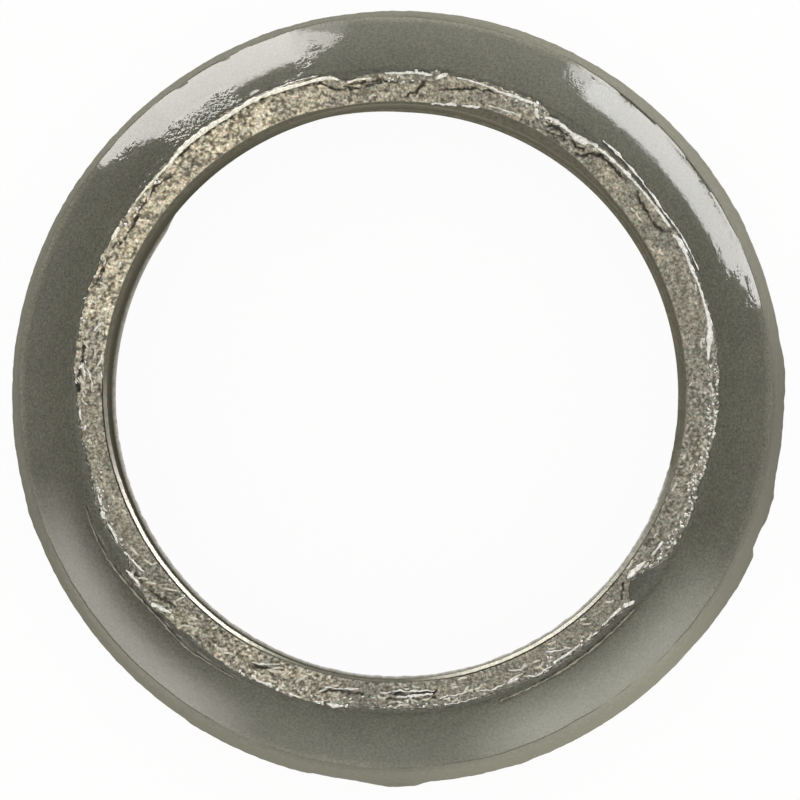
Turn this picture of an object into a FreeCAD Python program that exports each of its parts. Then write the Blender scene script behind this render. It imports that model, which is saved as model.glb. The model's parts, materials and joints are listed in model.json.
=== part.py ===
import FreeCAD, Part
import Sketcher
import math
import os

# Ring gasket for a slip joint in an exhaust: knitted steel wire and graphite, pressed into one solid ring.
# The ring lies on its wide base. The origin is the centre of the base on the bore axis, and +Z points up to
# the narrow face. A spherical seat runs from the narrow face down to a round shoulder, and a drafted flank
# carries on to the base. Sizes are in millimetres, and azimuths in degrees from +X, counted towards +Y.

SIZES = [
    ("BoreDiameter", 51.2, "slips over a 50.8 mm pipe"),
    ("FaceWidth", 3.55, "narrow face, from the bore to the crest of its lip"),
    ("SeatWidth", 5.85, "from the crest of the lip out to the widest part of the flank"),
    ("Height", 15.0, "base to the crest of the lip"),
    ("SeatRadius", 50.0, "sphere of the seat, centred on the bore axis"),
    ("ShoulderRound", 1.7, "from the seat into the flank"),
    ("FlankDraft", 5.0, "degrees that the flank leans in towards the top, to leave the die"),
    ("BaseRound", 0.6, "from the flank into the base"),
    ("BoreChamfer", 1.0, "lead-in at the base"),
    ("BoreBevel", 0.5, "pressed edge where the bore meets the narrow face"),
    ("FaceDepth", 0.25, "the rough face lies this far under the crest of the lip"),
    ("LipWidth", 0.4, "mean width of the lip of skin round the rough face"),
    ("CreaseWidth", 0.4, "crease across its mouth"),
    ("CreaseDepth", 0.1, "crease below the seat"),
    ("FlashHeight", 0.15, "underside of the pressing flash above the base round"),
    ("FlashThickness", 0.35, "pressing flash"),
    ("FlashRoot", 0.6, "how far each flash is rooted inside the flank"),
    ("WireWidth", 0.32, "knitted wire, flattened by the press"),
    ("WireRise", 0.12, "how far the flattened wires stand out of the face"),
    ("WireLength", 1.3, "straight part of a wire that shows"),
    ("WireMargin", 0.3, "bare band kept along both edges of the face"),
]

# The ragged inner edge of the skin: azimuth, and how far the edge stands outside its mean circle.
LIP_EDGE = [
    (0, 0.29), (15, 0.24), (30, 0.15), (42, -0.12), (52, -0.47), (61, -0.33), (71, -0.09), (82, -0.03),
    (91, -0.2), (99, -0.57), (104, 0.1), (112, 0.3), (121, 0.33), (131, 0.26), (141, 0.05), (153, 0.09),
    (166, 0.12), (180, -0.04), (195, -0.22), (209, -0.06), (222, 0.26), (235, 0.19), (250, 0.07), (261, 0.0),
    (271, -0.14), (285, -0.34), (297, -0.42), (309, -0.48), (316, -0.3), (321, -1.3), (326, -1.09),
    (332, -0.48), (341, -0.09), (351, 0.12),
]

# Creases in the seat: middle azimuth, sweep, and how far the crease lies outside the crest of the lip.
CREASES = [
    ("CreaseUpperRight", 41.0, 24.0, 0.35),
    ("CreaseLowerLeft", 225.0, 44.0, 0.55),
    ("CreaseLowerRight", 303.0, 30.0, 0.35),
]

# Flash that the press squeezed out: azimuth and reach beyond the flank, along each lobe, whose ends sink in.
FLASH_LOBES = [
    [(-2.0, -0.2), (1.0, 0.16), (4.0, 0.26), (7.0, 0.14), (10.0, -0.2)],
    [(193.5, -0.2), (197.0, 0.22), (199.0, 0.45), (200.5, 0.3), (203.5, -0.2)],
    [(262.0, -0.2), (266.0, 0.2), (269.5, 0.4), (272.0, 0.34), (275.5, -0.2)],
    [(319.0, -0.2), (324.0, 0.12), (330.0, 0.3), (335.0, 0.34), (336.7, -0.2)],
    [(339.3, -0.2), (341.5, 0.2), (344.0, 0.26), (346.5, -0.2)],
]

# Wires that show in the rough face. Each lies along the ring, give or take a swing that never repeats.
WIRE_ROWS = 3
WIRES_PER_ROW = 22
WIRE_LAY = 90.0
WIRE_SWING = 35.0
GOLDEN_TURN = 137.508

SAME_PLACE = 1e-6


def make_sheet(doc):
    """Writes the driving dimensions into a spreadsheet, one alias to a row."""
    sheet = doc.addObject("Spreadsheet::Sheet", "Sizes")
    for row, (alias, value, note) in enumerate(SIZES, start=1):
        sheet.set(f"A{row}", alias)
        sheet.set(f"B{row}", str(value))
        sheet.setAlias(f"B{row}", alias)
        sheet.set(f"C{row}", note)
    doc.recompute()
    return sheet


def polar(radius, azimuth, height=0.0):
    """The point at this radius and azimuth."""
    turn = math.radians(azimuth)
    return FreeCAD.Vector(radius * math.cos(turn), radius * math.sin(turn), height)


def attach(body, sketch, plane_role, offset=None, height=None):
    """Puts a sketch on one of the body's own origin planes, turned or lifted off it where that is asked."""
    plane = next(p for p in body.Origin.OriginFeatures if p.Role == plane_role)
    sketch.AttachmentSupport = [(plane, "")]
    sketch.MapMode = "FlatFace"
    if offset is not None:
        sketch.AttachmentOffset = offset
    if height is not None:
        sketch.setExpression(".AttachmentOffset.Base.z", height)


def smooth_curve(points, closed=False):
    """A spline through the points."""
    curve = Part.BSplineCurve()
    curve.interpolate(Points=points, PeriodicFlag=closed)
    return curve


class Radii:
    """The radii and heights that the features share, worked out from the sheet."""

    def __init__(self, sheet):
        self.bore = sheet.BoreDiameter / 2
        self.crest = self.bore + sheet.FaceWidth
        self.flank = self.crest + sheet.SeatWidth
        self.lip = self.crest - sheet.LipWidth
        self.floor = sheet.Height - sheet.FaceDepth
        self.sphere_height = sheet.Height - math.sqrt(sheet.SeatRadius**2 - self.crest**2)


def draw_section(body, sheet, radii):
    """The half section: base, flank, shoulder, seat, narrow face and bore, fully constrained to the sheet."""
    seat = sheet.SeatRadius
    shoulder = sheet.ShoulderRound
    base = sheet.BaseRound
    chamfer = sheet.BoreChamfer
    top = sheet.Height
    draft = math.radians(sheet.FlankDraft)
    out = FreeCAD.Vector(math.cos(draft), math.sin(draft), 0)
    up = FreeCAD.Vector(-math.sin(draft), math.cos(draft), 0)
    sphere_centre = FreeCAD.Vector(0, radii.sphere_height, 0)
    base_centre = FreeCAD.Vector(radii.flank - base, base, 0)
    inset = (base_centre - sphere_centre).dot(out) + base - shoulder
    rise = math.sqrt((seat - shoulder) ** 2 - inset**2)
    shoulder_centre = sphere_centre + out * inset + up * rise
    meeting = math.atan2(shoulder_centre.y - sphere_centre.y, shoulder_centre.x)
    crest_angle = math.atan2(top - sphere_centre.y, radii.crest)

    def line(first, second):
        return Part.LineSegment(first, second)

    def arc(middle, radius, start, end):
        circle = Part.Circle(middle, FreeCAD.Vector(0, 0, 1), radius)
        return Part.ArcOfCircle(circle, start, end)

    sketch = body.newObject("Sketcher::SketchObject", "Section")
    attach(body, sketch, "XZ_Plane")
    lead_foot = FreeCAD.Vector(radii.bore + chamfer, 0, 0)
    lead_head = FreeCAD.Vector(radii.bore, chamfer, 0)
    bore_top = FreeCAD.Vector(radii.bore, top, 0)
    crest_point = FreeCAD.Vector(radii.crest, top, 0)
    base_line = sketch.addGeometry(line(lead_foot, FreeCAD.Vector(base_centre.x, 0, 0)))
    base_arc = sketch.addGeometry(arc(base_centre, base, -math.pi / 2, draft))
    flank_line = sketch.addGeometry(line(base_centre + out * base, shoulder_centre + out * shoulder))
    shoulder_arc = sketch.addGeometry(arc(shoulder_centre, shoulder, draft, meeting))
    seat_arc = sketch.addGeometry(arc(sphere_centre, seat, meeting, crest_angle))
    face_line = sketch.addGeometry(line(crest_point, bore_top))
    bore_line = sketch.addGeometry(line(bore_top, lead_head))
    lead_line = sketch.addGeometry(line(lead_head, lead_foot))
    start, end, centre = 1, 2, 3
    origin, x_axis, y_axis = -1, -1, -2

    def relate(kind, *places):
        return sketch.addConstraint(Sketcher.Constraint(kind, *places))

    def size(name, kind, *places, value, formula):
        index = sketch.addConstraint(Sketcher.Constraint(kind, *places, value))
        sketch.renameConstraint(index, name)
        sketch.setExpression(f"Constraints.{name}", formula)

    relate("Tangent", base_line, end, base_arc, start)
    relate("Tangent", base_arc, end, flank_line, start)
    relate("Tangent", flank_line, end, shoulder_arc, start)
    relate("Tangent", shoulder_arc, end, seat_arc, start)
    relate("Coincident", seat_arc, end, face_line, start)
    relate("Coincident", face_line, end, bore_line, start)
    relate("Coincident", bore_line, end, lead_line, start)
    relate("Coincident", lead_line, end, base_line, start)
    relate("Horizontal", base_line)
    relate("Horizontal", face_line)
    relate("Vertical", bore_line)
    relate("PointOnObject", base_line, start, x_axis)
    relate("PointOnObject", seat_arc, centre, y_axis)
    bore = "Sizes.BoreDiameter / 2"
    crest = f"{bore} + Sizes.FaceWidth"
    foot = f"{crest} + Sizes.SeatWidth - Sizes.BaseRound"
    lean = "90 deg + Sizes.FlankDraft * 1 deg"
    size("Bore", "DistanceX", origin, 1, bore_line, start, value=radii.bore, formula=bore)
    size("Crest", "DistanceX", origin, 1, face_line, start, value=radii.crest, formula=crest)
    size("Foot", "DistanceX", origin, 1, base_arc, centre, value=base_centre.x, formula=foot)
    size("Lean", "Angle", flank_line, value=math.pi / 2 + draft, formula=lean)
    size("Top", "DistanceY", origin, 1, face_line, start, value=top, formula="Sizes.Height")
    size("Seat", "Radius", seat_arc, value=seat, formula="Sizes.SeatRadius")
    size("Shoulder", "Radius", shoulder_arc, value=shoulder, formula="Sizes.ShoulderRound")
    size("Base", "Radius", base_arc, value=base, formula="Sizes.BaseRound")
    size("Rise", "DistanceY", origin, 1, bore_line, end, value=chamfer, formula="Sizes.BoreChamfer")
    size("Run", "DistanceX", bore_line, end, base_line, start, value=chamfer, formula="Sizes.BoreChamfer")
    return sketch


def turn_ring(body, sheet, radii):
    """The plain ring, revolved from its section."""
    section = draw_section(body, sheet, radii)
    ring = body.newObject("PartDesign::Revolution", "PlainRing")
    ring.Profile = section
    ring.ReferenceAxis = (section, ["V_Axis"])
    ring.Angle = 360
    section.Visibility = False
    return ring


def press_face(body, radii):
    """The rough face: pressed in below the lip, out to the ragged edge of the skin."""
    sketch = body.newObject("Sketcher::SketchObject", "SkinEdge")
    attach(body, sketch, "XY_Plane", height="Sizes.Height")
    edge = smooth_curve([polar(radii.lip + shift, azimuth) for azimuth, shift in LIP_EDGE], closed=True)
    sketch.addGeometry(edge)
    sketch.addConstraint(Sketcher.Constraint("Block", 0))
    face = body.newObject("PartDesign::Pocket", "RoughFace")
    face.Profile = sketch
    face.setExpression("Length", "Sizes.FaceDepth")
    return face


def bevel_bore_edge(doc, body, radii):
    """The pressed edge between the rough face and the bore."""
    doc.recompute()
    previous = body.Tip

    def is_bore_edge(edge):
        ring = edge.Curve
        if not isinstance(ring, Part.Circle):
            return False
        return max(abs(ring.Radius - radii.bore), abs(ring.Center.z - radii.floor)) < SAME_PLACE

    names = [f"Edge{i}" for i, e in enumerate(previous.Shape.Edges, start=1) if is_bore_edge(e)]
    bevel = body.newObject("PartDesign::Chamfer", "BoreEdge")
    bevel.Base = (previous, names)
    bevel.setExpression("Size", "Sizes.BoreBevel")
    return bevel


def crease_seat(body, sheet, radii, name, azimuth, sweep, offset):
    """A shallow V groove round part of the seat, where the skin folded under the press."""
    radius = radii.crest + offset
    height = radii.sphere_height + math.sqrt(sheet.SeatRadius**2 - radius**2)
    slope = math.asin(radius / sheet.SeatRadius)
    outward = FreeCAD.Vector(math.sin(slope), math.cos(slope), 0)
    along = FreeCAD.Vector(math.cos(slope), -math.sin(slope), 0)
    mouth = FreeCAD.Vector(radius, height, 0) + outward * sheet.CreaseDepth
    corners = [
        mouth - along * sheet.CreaseWidth / 2,
        mouth + along * sheet.CreaseWidth / 2,
        mouth - outward * 2 * sheet.CreaseDepth,
    ]
    sketch = body.newObject("Sketcher::SketchObject", name + "Profile")
    turned = FreeCAD.Placement(FreeCAD.Vector(), FreeCAD.Rotation(FreeCAD.Vector(0, 1, 0), azimuth))
    attach(body, sketch, "XZ_Plane", offset=turned)
    for first, second in zip(corners, corners[1:] + corners[:1]):
        line = sketch.addGeometry(Part.LineSegment(first, second))
        sketch.addConstraint(Sketcher.Constraint("Block", line))
    crease = body.newObject("PartDesign::Groove", name)
    crease.Profile = sketch
    crease.ReferenceAxis = (sketch, ["V_Axis"])
    crease.Angle = sweep
    crease.Midplane = True
    return crease


def squeeze_flash(body, sheet, radii, number, lobe):
    """One lobe of flash: a thin fin rooted in the flank, with a ragged outer edge."""
    root = radii.flank - sheet.FlashRoot
    first = lobe[0][0]
    last = lobe[-1][0]
    middle = (first + last) / 2
    inner = Part.Arc(polar(root, first), polar(root, middle), polar(root, last))
    outer = smooth_curve([polar(radii.flank + reach, azimuth) for azimuth, reach in lobe])
    sketch = body.newObject("Sketcher::SketchObject", f"FlashEdge{number}")
    attach(body, sketch, "XY_Plane", height="Sizes.BaseRound + Sizes.FlashHeight")
    edges = [
        inner,
        Part.LineSegment(polar(root, first), outer.StartPoint),
        outer,
        Part.LineSegment(outer.EndPoint, polar(root, last)),
    ]
    for edge in edges:
        sketch.addConstraint(Sketcher.Constraint("Block", sketch.addGeometry(edge)))
    flash = body.newObject("PartDesign::Pad", f"Flash{number}")
    flash.Profile = sketch
    flash.setExpression("Length", "Sizes.FlashThickness")
    return flash


def press_wires(body, sheet, radii):
    """The wires that show in the rough face: flattened lengths of them, turned every way, as low ridges."""
    half = sheet.WireWidth / 2
    inner = radii.bore + sheet.BoreBevel + sheet.WireMargin
    outer = radii.lip - sheet.WireMargin
    sketch = body.newObject("Sketcher::SketchObject", "WireOutlines")
    attach(body, sketch, "XY_Plane", height="Sizes.Height - Sizes.FaceDepth")
    pitch = 360.0 / WIRES_PER_ROW
    for row in range(WIRE_ROWS):
        radius = inner + (outer - inner) * (row + 0.5) / WIRE_ROWS
        for step in range(WIRES_PER_ROW):
            azimuth = pitch * (step + row / WIRE_ROWS)
            draw_wire(sketch, polar(radius, azimuth), azimuth + wire_turn(row, step), sheet.WireLength, half)
    wires = body.newObject("PartDesign::Pad", "Wires")
    wires.Profile = sketch
    wires.setExpression("Length", "Sizes.WireRise")
    return wires


def wire_turn(row, step):
    """How far a wire is turned from the radial line."""
    return WIRE_LAY + WIRE_SWING * math.sin(math.radians(GOLDEN_TURN * (step + row * WIRES_PER_ROW)))


def draw_wire(sketch, middle, azimuth, length, half):
    """The outline of one flattened wire: two straight sides, and ends that taper under the graphite."""
    along = polar(length / 2, azimuth)
    tip = polar(length / 2 + half, azimuth)
    across = polar(half, azimuth + 90)
    corners = [
        middle - along - across,
        middle + along - across,
        middle + tip,
        middle + along + across,
        middle - along + across,
        middle - tip,
    ]
    for first, second in zip(corners, corners[1:] + corners[:1]):
        side = sketch.addGeometry(Part.LineSegment(first, second))
        sketch.addConstraint(Sketcher.Constraint("Block", side))


def build_gasket(doc, sheet):
    """The whole gasket, as one body."""
    radii = Radii(sheet)
    body = doc.addObject("PartDesign::Body", "GasketRing")
    body.Label = "gasket_ring"
    turn_ring(body, sheet, radii)
    press_face(body, radii)
    bevel_bore_edge(doc, body, radii)
    for name, azimuth, sweep, offset in CREASES:
        crease_seat(body, sheet, radii, name, azimuth, sweep, offset)
    for number, lobe in enumerate(FLASH_LOBES, start=1):
        squeeze_flash(body, sheet, radii, number, lobe)
    press_wires(body, sheet, radii)
    doc.recompute()
    return body


def check_document(doc):
    """Stops the build if any object of the document failed."""
    failed = [o.Name for o in doc.Objects if {"Invalid", "Error"} & set(o.State)]
    if failed:
        raise RuntimeError(f"these objects failed: {failed}")


def export(body):
    """Writes one sub-part under its label."""
    shape = body.Shape
    if shape.isNull() or not shape.isValid() or len(shape.Solids) != 1:
        raise RuntimeError(f"{body.Label} isn't one valid solid")
    os.makedirs("parts", exist_ok=True)
    shape.exportStep(f"parts/{body.Label}.step")
    print(f"{body.Label}: {shape.Volume:.1f} mm3, {len(shape.Faces)} faces, box {shape.BoundBox}")


def main():
    doc = FreeCAD.newDocument("exhaust_gasket")
    sheet = make_sheet(doc)
    gasket = build_gasket(doc, sheet)
    check_document(doc)
    export(gasket)


main()
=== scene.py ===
import json
import math

import bpy
import numpy as np
from mathutils import Matrix, Vector


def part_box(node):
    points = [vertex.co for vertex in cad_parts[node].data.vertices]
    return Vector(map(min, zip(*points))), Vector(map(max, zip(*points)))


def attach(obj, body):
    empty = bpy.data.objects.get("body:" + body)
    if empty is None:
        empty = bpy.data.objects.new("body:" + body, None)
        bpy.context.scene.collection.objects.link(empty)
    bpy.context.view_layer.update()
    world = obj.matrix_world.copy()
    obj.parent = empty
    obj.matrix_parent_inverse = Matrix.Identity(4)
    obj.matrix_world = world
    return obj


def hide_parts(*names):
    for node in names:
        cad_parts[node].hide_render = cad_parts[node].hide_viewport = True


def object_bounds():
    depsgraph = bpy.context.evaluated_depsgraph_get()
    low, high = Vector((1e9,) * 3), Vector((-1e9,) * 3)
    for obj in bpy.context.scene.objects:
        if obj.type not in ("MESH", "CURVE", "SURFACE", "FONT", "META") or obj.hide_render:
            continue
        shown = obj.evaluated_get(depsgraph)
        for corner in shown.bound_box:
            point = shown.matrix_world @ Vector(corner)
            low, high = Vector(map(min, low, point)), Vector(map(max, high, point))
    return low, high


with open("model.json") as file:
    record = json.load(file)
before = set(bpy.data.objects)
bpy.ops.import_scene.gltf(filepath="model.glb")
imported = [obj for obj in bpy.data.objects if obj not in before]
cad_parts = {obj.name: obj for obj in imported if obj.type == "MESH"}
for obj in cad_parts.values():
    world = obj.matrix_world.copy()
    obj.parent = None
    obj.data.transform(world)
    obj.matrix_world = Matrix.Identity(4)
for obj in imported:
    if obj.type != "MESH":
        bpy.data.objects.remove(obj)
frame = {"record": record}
cad_low, cad_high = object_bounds()

# Lengths are in millimetres and azimuths in degrees from +X towards +Y, until a mesh is written in metres.
MM = 0.001
NODE = "gasket_ring"
BODY = "root"
SEED = 20

# Sizes from the frame
mounts = {m["name"]: m for m in frame["record"]["mounts"]}
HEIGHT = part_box(NODE)[1][2] / MM
BORE = mounts["bore"]["dims"]["r_mm"]

# The bore: lead-in at the base, ledge that carries the burr, and wall
LEAD_IN = 1.0
LEDGE_TOP = 1.35
WALL_FOOT = BORE + 0.33
WALL_TOP = BORE + 0.2
WALL_ROWS = 6

# The rough face, the pressed edge inside it, and the crevice between them
FACE_START = BORE + 0.52
FACE_LEVEL = HEIGHT - 0.25
FACE_ROWS = 23
MEAN_RADIUS = BORE + 1.8
BEVEL_FOOT = FACE_LEVEL - 0.52
BEVEL_SLOPE = 41.6
BEVEL_SHARES = (0.0, 0.06, 0.5, 0.94, 1.0)
EDGE_GAP = 0.02
CREVICE_DEPTH = 0.36

# The azimuths between which the pressed edge is blunt, with a ramp, and those where the crevice is filled
BLUNT_SIDE = (2, 174, 4)
FILLED_SIDE = (0, 174)

# The burnished seat, from the skin's ragged edge over its crest and along its sphere to the shoulder
SEAT_RADIUS = 50.0
SKIN_EDGE = BORE + 3.15
LIP_WIDTH = 0.06
CREST = SKIN_EDGE - 0.05
CREST_ROUND = 0.07
NEAR_ROWS = 10
NEAR_END = 30.6
SEAT_END = BORE + 8.2
SEAT_RINGS = (31.0, 31.4, 31.9, 32.5, 33.0, 33.25, 33.45, 33.6, SEAT_END - 0.1, SEAT_END)

# The outermost part of the seat is painted lighter, as painted light for the reflection it lacks there: the
# least mark, at which the painted light starts, and the radius where it starts.
EDGE_LIGHT_START = 0.02
EDGE_LIGHT_INNER = SEAT_END - 0.75

# Shoulder, leaning flank with its flash (height and share of the reach of each ring), and base
SHOULDER_ROUND = 1.9
SHOULDER_END = 72.0
SHOULDER_STEPS = 9
FLANK_FOOT = BORE + 9.4
FLANK_SHARES = (0.04, 0.2, 0.4, 0.6, 0.8, 0.92)
FLASH_RINGS = ((1.25, 0.1), (1.05, 0.95), (0.8, 1.0), (0.6, 0.3))
BASE_ROUND = 0.6
BASE_ROWS = 5
FLANK_END = BASE_ROUND + 0.4

# The flank stands a little off the bore's axis: how far, which way, and how much of it the shoulder has.
OFF_CENTRE = 0.297
OFF_CENTRE_AZIMUTH = -66.6
SHOULDER_OFF_CENTRE = 0.4

# How far each kind of relief stands out or sinks in
WIRE_RELIEF = 0.053
GRAIN_RELIEF = 0.085
FINE_RELIEF = 0.01
CRACK_DEPTH = 0.13
FOLD_DEPTH = 0.04
CRUMPLE_RELIEF = 0.012
SWELL_RELIEF = 0.003

# The ragged inner edge of the skin: azimuth, and how far the edge stands outside its mean circle.
SKIN_EDGE_SHIFTS = [
    (4, 0.36), (14, 0.3), (28, 0.26), (32, 0.06), (49, -0.02), (51, -0.14), (55.5, -0.55), (60, -0.35),
    (63, 0.1), (79, 0.06), (81.5, 0.22), (85, 0.1), (89, -0.1), (95, -0.22), (98, -0.59), (99.5, -0.55),
    (101, 0.0), (103, 0.29), (110, 0.4), (120, 0.43), (131, 0.39), (134, 0.2), (138, 0.14), (150, 0.11),
    (171, 0.11), (177, 0.05), (180, -0.25), (186, -0.47), (191, -0.6), (196, -0.55), (201, -0.25),
    (206, -0.28), (210, -0.67), (213, -0.54), (214.5, 0.18), (222, 0.25), (228, -0.02), (231, -0.17),
    (238, 0.08), (256, 0.06), (261, -0.08), (264, -0.3), (286, -0.31), (290, -0.48), (295, -0.38),
    (297, -0.11), (300, -0.29), (305, -0.3), (310, -0.47), (314, -0.57), (317, -0.3), (318.5, -0.4),
    (319.4, -1.2), (320.5, -1.65), (322, -1.7), (324, -1.4), (325, -1.05), (326, -0.78), (328.5, -0.31),
    (332, -0.1), (335, 0.06), (338, 0.04), (343, -0.2), (347, -0.05), (350, 0.08), (355, 0.25),
]

# Where the rough face starts: azimuth, and how far outside its mean circle. The pressed edge is wide near 65.
FACE_START_SHIFTS = [
    (0, 0), (20, -0.1), (42, -0.1), (52, 0.25), (60, 0.42), (73, 0.4), (78, 0.05), (84, -0.2), (100, -0.22),
    (110, 0), (192, 0), (203, -0.06), (222, -0.06), (238, 0), (248, -0.14), (275, -0.14), (283, 0), (312, 0),
    (325, -0.15), (340, -0.1), (352, 0),
]

# How far the top of the bore's wall stands outside its mean circle
WALL_SHIFTS = [(192, 0), (203, -0.06), (222, -0.06), (235, 0), (312, 0), (325, -0.15), (340, -0.1), (352, 0)]

# How bright the pressed edge of the bore is, by azimuth: worn bare metal, with a painted highlight on the
# lower side where the edge catches the light, and dull on the side in shade
BEVEL_WEAR_AND_HIGHLIGHT = [
    (176, 0), (181, 0.45), (192, 0.55), (198, 0.9), (204, 1), (240, 1), (247, 0.4), (252, 0.1), (272, 0.05),
    (279, 0.6), (284, 0.72), (328, 0.78), (334, 0.45), (342, 0.25), (350, 0),
]

# How deep the crevice is between the pressed edge and the rough face, by azimuth; its depth also paints it
# dark, as painted shade
CREVICE_SHARES = [
    (176, 0), (181, 0.8), (235, 0.7), (245, 0.2), (278, 0.2), (285, 0.7), (315, 0.7), (322, 0.3), (350, 0),
]

# How pale the wall of the bore is, by azimuth: painted light on the side where the wall lies in shade. Where
# it is low, the burr is painted near white, as a painted reflection.
WALL_PAINTED_LIGHT = [(0, 0.9), (95, 1), (110, 0.6), (130, 0.3), (176, 0.2), (190, 0), (340, 0), (350, 0.8)]

# How pale the unpolished shoulder and flank are, from dull to pale, by azimuth. Their change round the ring
# is painted light, in place of the uneven light and reflections that reach them
FLANK_PAINTED_LIGHT = [
    (0, 0.2), (15, 0.32), (30, 0.37), (45, 0.38), (60, 0.36), (75, 0.33), (90, 0.3), (105, 0.3), (120, 0.33),
    (135, 0.34), (150, 0.28), (165, 0.27), (180, 0.26), (195, 0.27), (210, 0.31), (225, 0.35), (255, 0.335),
    (270, 0.33), (285, 0.42), (300, 0.46), (315, 0.49), (330, 0.32), (345, 0.24),
]

# How pale the shoulder starts, as a share of how it ends, by azimuth: painted light that carries the seat's
# brighter and darker stretches onto the shoulder
SHOULDER_PAINTED_LIGHT_STARTS = [
    (0, 0.776), (12, 0.86), (24, 1.0), (68, 1.0), (80, 0.86), (92, 0.86), (104, 1.0), (140, 1.0),
    (150, 0.804), (185, 0.776), (200, 0.944), (212, 1.21), (232, 1.168), (244, 0.944), (256, 0.804),
    (275, 0.804), (288, 0.944), (300, 1.07), (316, 1.07), (328, 0.916), (345, 0.776),
]

# How strongly the outermost part of the seat is painted lighter, by azimuth: painted light for the reflection
# it lacks there
SEAT_EDGE_PAINTED_LIGHT = [
    (0, 0.03), (15, 0.03), (30, 0.02), (52, 0.02), (63, 0.06), (75, 0.08), (93, 0.08), (102, 0.03),
    (110, 0.0), (140, 0.01), (150, 0.06), (165, 0.055), (180, 0.05), (195, 0.04), (210, 0.015), (240, 0.02),
    (262, 0.04), (285, 0.0), (320, 0.0), (332, 0.02), (345, 0.035),
]

# How far the widest part of the flank stands off its circle, by azimuth
FLANK_SHIFTS = [
    (0, 0.1), (3.5, 0.24), (8, 0), (22, 0), (26, 0.1), (40, 0.1), (50, 0), (95, 0.02), (99, 0.08),
    (108.5, 0.17), (118, 0.03), (130, 0.05), (135, 0.13), (140, 0.02), (193, 0), (198.5, 0.19), (203, 0),
    (235, 0), (240, 0.11), (256.5, 0.11), (258, -0.06), (262, -0.06), (266, 0.2), (269.5, 0.4),
    (272.5, 0.34), (275, 0), (285, 0), (288, 0.08), (292, 0), (318, 0), (330, 0.3), (335.7, 0.32),
    (336.4, 0), (339, 0), (341.5, 0.28), (343, 0.2), (344.5, 0.32), (347, 0), (350, -0.1), (357, -0.1),
]

# How strongly the winding wires show in the face, by azimuth
WIRE_SHARES = [
    (0, 0), (208, 0), (217, 0.9), (258, 1.0), (262, 0.15), (266, 0.8), (277, 0.6), (300, 0.45), (322, 0),
]

# How far the wires have wandered towards the bore by each azimuth
WIRE_DRIFT = [(0, 0), (205, 0), (262, 11.5), (284, 11.5), (302, 7.5), (330, 5.5)]

# How strongly the broken grains show in the face, by azimuth
GRAIN_SHARES = [
    (0, 0.8), (6, 0.6), (12, 0.45), (30, 0.45), (50, 0.5), (58, 0.75), (72, 0.55), (84, 0.55), (98, 0.65),
    (104, 0.75), (124, 0.88), (133, 0.75), (150, 0.68), (156, 0.8), (178, 0.8), (184, 0.5), (192, 0.45),
    (212, 0.35), (225, 0.55), (258, 0.5), (262, 0.15), (266, 0.4), (285, 0.2), (318, 0.25), (328, 0.5),
    (342, 0.75),
]

# How much of the face is bare pale metal and scale, by azimuth
PALE_SHARES = [
    (0, 0.05), (25, 0.18), (45, 0.25), (56, 0.12), (68, 0.3), (90, 0.35), (104, 0.55), (114, 0.9),
    (122, 1.15), (130, 0.95), (150, 1.05), (158, 1.0), (168, 0.6), (175, 0.25), (195, 0.25), (212, 0.1),
    (225, 0.2), (240, 0.4), (258, 0.3), (264, 0.0), (272, 0.1), (300, 0.15), (320, 0.1), (345, 0.1),
]

# Cracks in the face: half width, and the azimuth and radius of each point along them
CRACKS = [
    (0.11, [(30, 28.6), (30.5, 28.1), (32, 27.75), (35, 27.65), (37.5, 27.8), (39.5, 28.05), (49, 28.0)]),
    (0.11, [(49, 28.0), (50, 27.65), (51, 27.2), (52.5, 26.65)]),
    (0.11, [(52, 27.4), (55, 27.35), (59, 27.0), (63, 26.9)]),
    (0.11, [(56, 27.7), (59, 27.7), (61, 27.4)]),
    (0.08, [(71.5, 28.25), (75, 27.95), (79, 27.55), (82, 27.2)]),
    (0.13, [(84.5, 28.0), (85, 27.45), (86, 26.9), (87.5, 26.55)]),
    (0.08, [(89.5, 27.75), (92.5, 27.85), (96.5, 27.8), (99.5, 27.65)]),
    (0.09, [(92.5, 27.6), (95.5, 27.4), (98.5, 27.3), (101, 27.6), (102.5, 28.0), (103.5, 28.5)]),
    (0.09, [(133, 27.95), (135.5, 27.75), (137.5, 27.85), (139.5, 28.35), (141.5, 28.1), (146.5, 27.9)]),
    (0.09, [(146.5, 27.9), (149, 27.75), (151, 27.85), (152.5, 28.25), (154.5, 28.4), (161, 28.3)]),
    (0.15, [(168, 27.05), (169, 26.6), (169.5, 26.25)]),
    (0.1, [(170.5, 28.25), (173, 28.1), (176, 28.35), (180, 28.3)]),
    (0.07, [(103.5, 28.55), (108, 28.55), (113, 28.68), (118, 28.75), (121, 28.52), (127, 28.68),
            (133, 28.55)]),
    (0.11, [(215, 28.4), (218.5, 28.25), (221.5, 27.9), (224.5, 27.55)]),
    (0.11, [(242, 27.8), (245, 27.3), (248, 26.7)]),
    (0.11, [(256, 27.55), (259.5, 27.3), (264, 27.15)]),
    (0.07, [(269, 27.1), (273, 27.02), (278, 27.15)]),
    (0.07, [(268.5, 27.5), (273, 27.62), (277.5, 27.55)]),
    (0.06, [(317.5, 27.65), (318.5, 27.2), (320, 26.75)]),
]

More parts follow.
